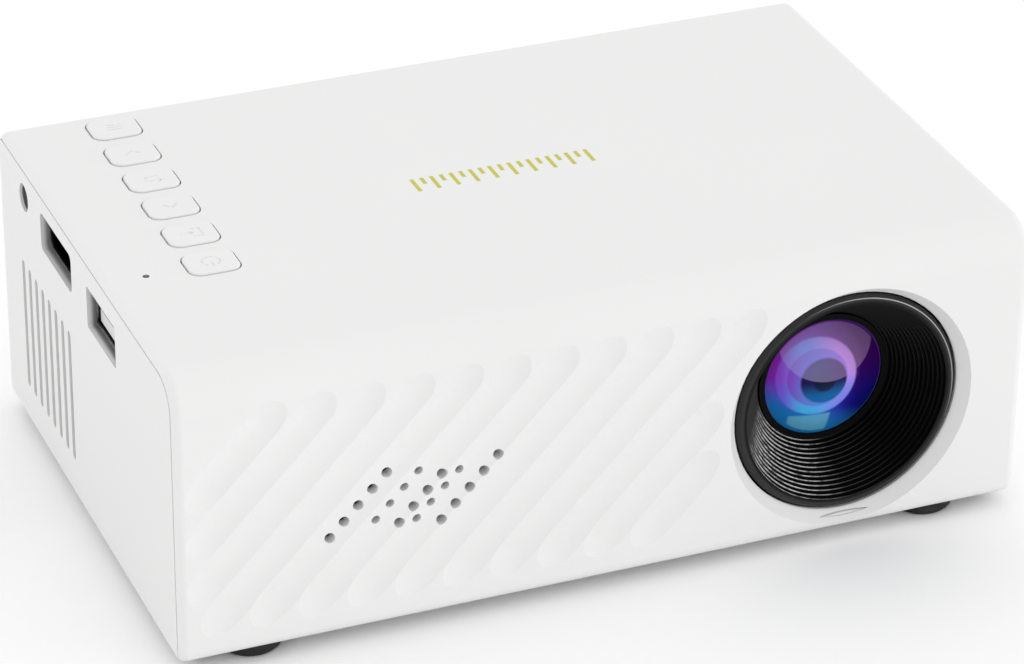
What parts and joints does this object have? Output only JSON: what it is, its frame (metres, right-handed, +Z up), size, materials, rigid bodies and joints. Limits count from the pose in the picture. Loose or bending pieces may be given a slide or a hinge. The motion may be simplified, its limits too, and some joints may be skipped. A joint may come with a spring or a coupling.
{
  "type": "mini projector",
  "caption": "Small white box projector with a fluted front, speaker holes, a deep ribbed focus hood round the lens, a row of keys on top and sockets and vents in the side.",
  "frame": {"origin": "on the surface that the feet stand on, under the middle of the housing", "axes": "+X to the right and +Z up when the lens side faces the viewer; the lens points along -Y"},
  "size_m": [0.126, 0.0804, 0.0459],
  "materials": {
    "white_shell": "fine satin moulding",
    "white_keys": "satin",
    "hood_black": "satin black",
    "black_plastic": "matte",
    "white_plastic": "matte",
    "clear_plastic": "clear",
    "coated_glass": "polished, with a violet and cyan coating",
    "optical_glass": "polished",
    "panel_glass": "polished",
    "mirror": "polished",
    "socket_metal": "satin",
    "screw_steel": "satin",
    "magnet_iron": "satin",
    "sink_aluminium": "extruded",
    "insert_brass": "machined",
    "green_board": "solder mask",
    "foam": "soft foam",
    "paper": "matte fibre",
    "ribbon_film": "amber film",
    "foot_rubber": "matte"
  },
  "bodies": {
    "case": {"upper_shell": "white_shell", "lower_shell": "white_shell", "switch_bodies": "black_plastic", "key_board": "green_board", "main_board": "green_board", "board_chips": "black_plastic", "light_guide": "clear_plastic", "hdmi_socket": "socket_metal", "hdmi_insert": "black_plastic", "usb_socket": "socket_metal", "usb_insert": "white_plastic", "av_jack": "black_plastic", "power_board": "green_board", "power_inlet": "black_plastic", "inlet_contact": "socket_metal", "speaker_gasket": "foam", "speaker_basket": "socket_metal", "speaker_cone": "paper", "speaker_magnet": "magnet_iron", "fan_frame": "black_plastic", "heat_sink": "sink_aluminium", "led_module": "sink_aluminium", "engine_body": "black_plastic", "engine_lid": "black_plastic", "condenser_holder": "black_plastic", "condenser_lens": "optical_glass", "rear_fresnel_lens": "clear_plastic", "lcd_panel": "panel_glass", "front_fresnel_lens": "clear_plastic", "fold_mirror": "mirror", "panel_ribbon": "ribbon_film", "lens_mount": "black_plastic", "rubber_feet": "foot_rubber", "case_screws": "screw_steel", "board_screws": "screw_steel", "engine_screws": "screw_steel", "tripod_insert": "insert_brass"},
    "focus_hood": {"lens_hood": "hood_black"},
    "lens_barrel": {"lens_barrel": "black_plastic", "front_lens": "coated_glass", "lens_retaining_ring": "black_plastic", "middle_lens": "optical_glass", "lens_spacer": "black_plastic", "rear_lens": "optical_glass", "rear_retaining_ring": "black_plastic"},
    "fan_rotor": {"fan_rotor": "black_plastic"},
    "power_key": {"power_key": "white_keys", "power_switch_stem": "black_plastic"},
    "source_key": {"source_key": "white_keys", "source_switch_stem": "black_plastic"},
    "up_key": {"up_key": "white_keys", "up_switch_stem": "black_plastic"},
    "return_key": {"return_key": "white_keys", "return_switch_stem": "black_plastic"},
    "down_key": {"down_key": "white_keys", "down_switch_stem": "black_plastic"},
    "menu_key": {"menu_key": "white_keys", "menu_switch_stem": "black_plastic"}
  },
  "joints": [
    {"name": "focus_turn", "type": "hinge", "parent": "case", "child": "focus_hood", "pos_m": [0.0362, -0.0382, 0.0217], "axis": [0, -1, 0], "range_deg": [0, 150]},
    {"name": "focus_slide", "type": "slide", "parent": "focus_hood", "child": "lens_barrel", "axis": [0, -1, 0], "range_m": [0, 0.0035]},
    {"name": "fan_spin", "type": "hinge", "parent": "case", "child": "fan_rotor", "pos_m": [-0.056, 0.0169, 0.019], "axis": [1, 0, 0], "continuous": true},
    {"name": "power_press", "type": "slide", "parent": "case", "child": "power_key", "axis": [0, 0, -1], "range_m": [0, 0.0003], "stiffness_N_per_m": 2000, "springref_m": -0.0005},
    {"name": "source_press", "type": "slide", "parent": "case", "child": "source_key", "axis": [0, 0, -1], "range_m": [0, 0.0003], "stiffness_N_per_m": 2000, "springref_m": -0.0005},
    {"name": "up_press", "type": "slide", "parent": "case", "child": "up_key", "axis": [0, 0, -1], "range_m": [0, 0.0003], "stiffness_N_per_m": 2000, "springref_m": -0.0005},
    {"name": "return_press", "type": "slide", "parent": "case", "child": "return_key", "axis": [0, 0, -1], "range_m": [0, 0.0003], "stiffness_N_per_m": 2000, "springref_m": -0.0005},
    {"name": "down_press", "type": "slide", "parent": "case", "child": "down_key", "axis": [0, 0, -1], "range_m": [0, 0.0003], "stiffness_N_per_m": 2000, "springref_m": -0.0005},
    {"name": "menu_press", "type": "slide", "parent": "case", "child": "menu_key", "axis": [0, 0, -1], "range_m": [0, 0.0003], "stiffness_N_per_m": 2000, "springref_m": -0.0005}
  ],
  "couplings": [
    {"joint": "focus_turn", "follows": "focus_slide", "rad_per_m": 747.99}
  ]
}
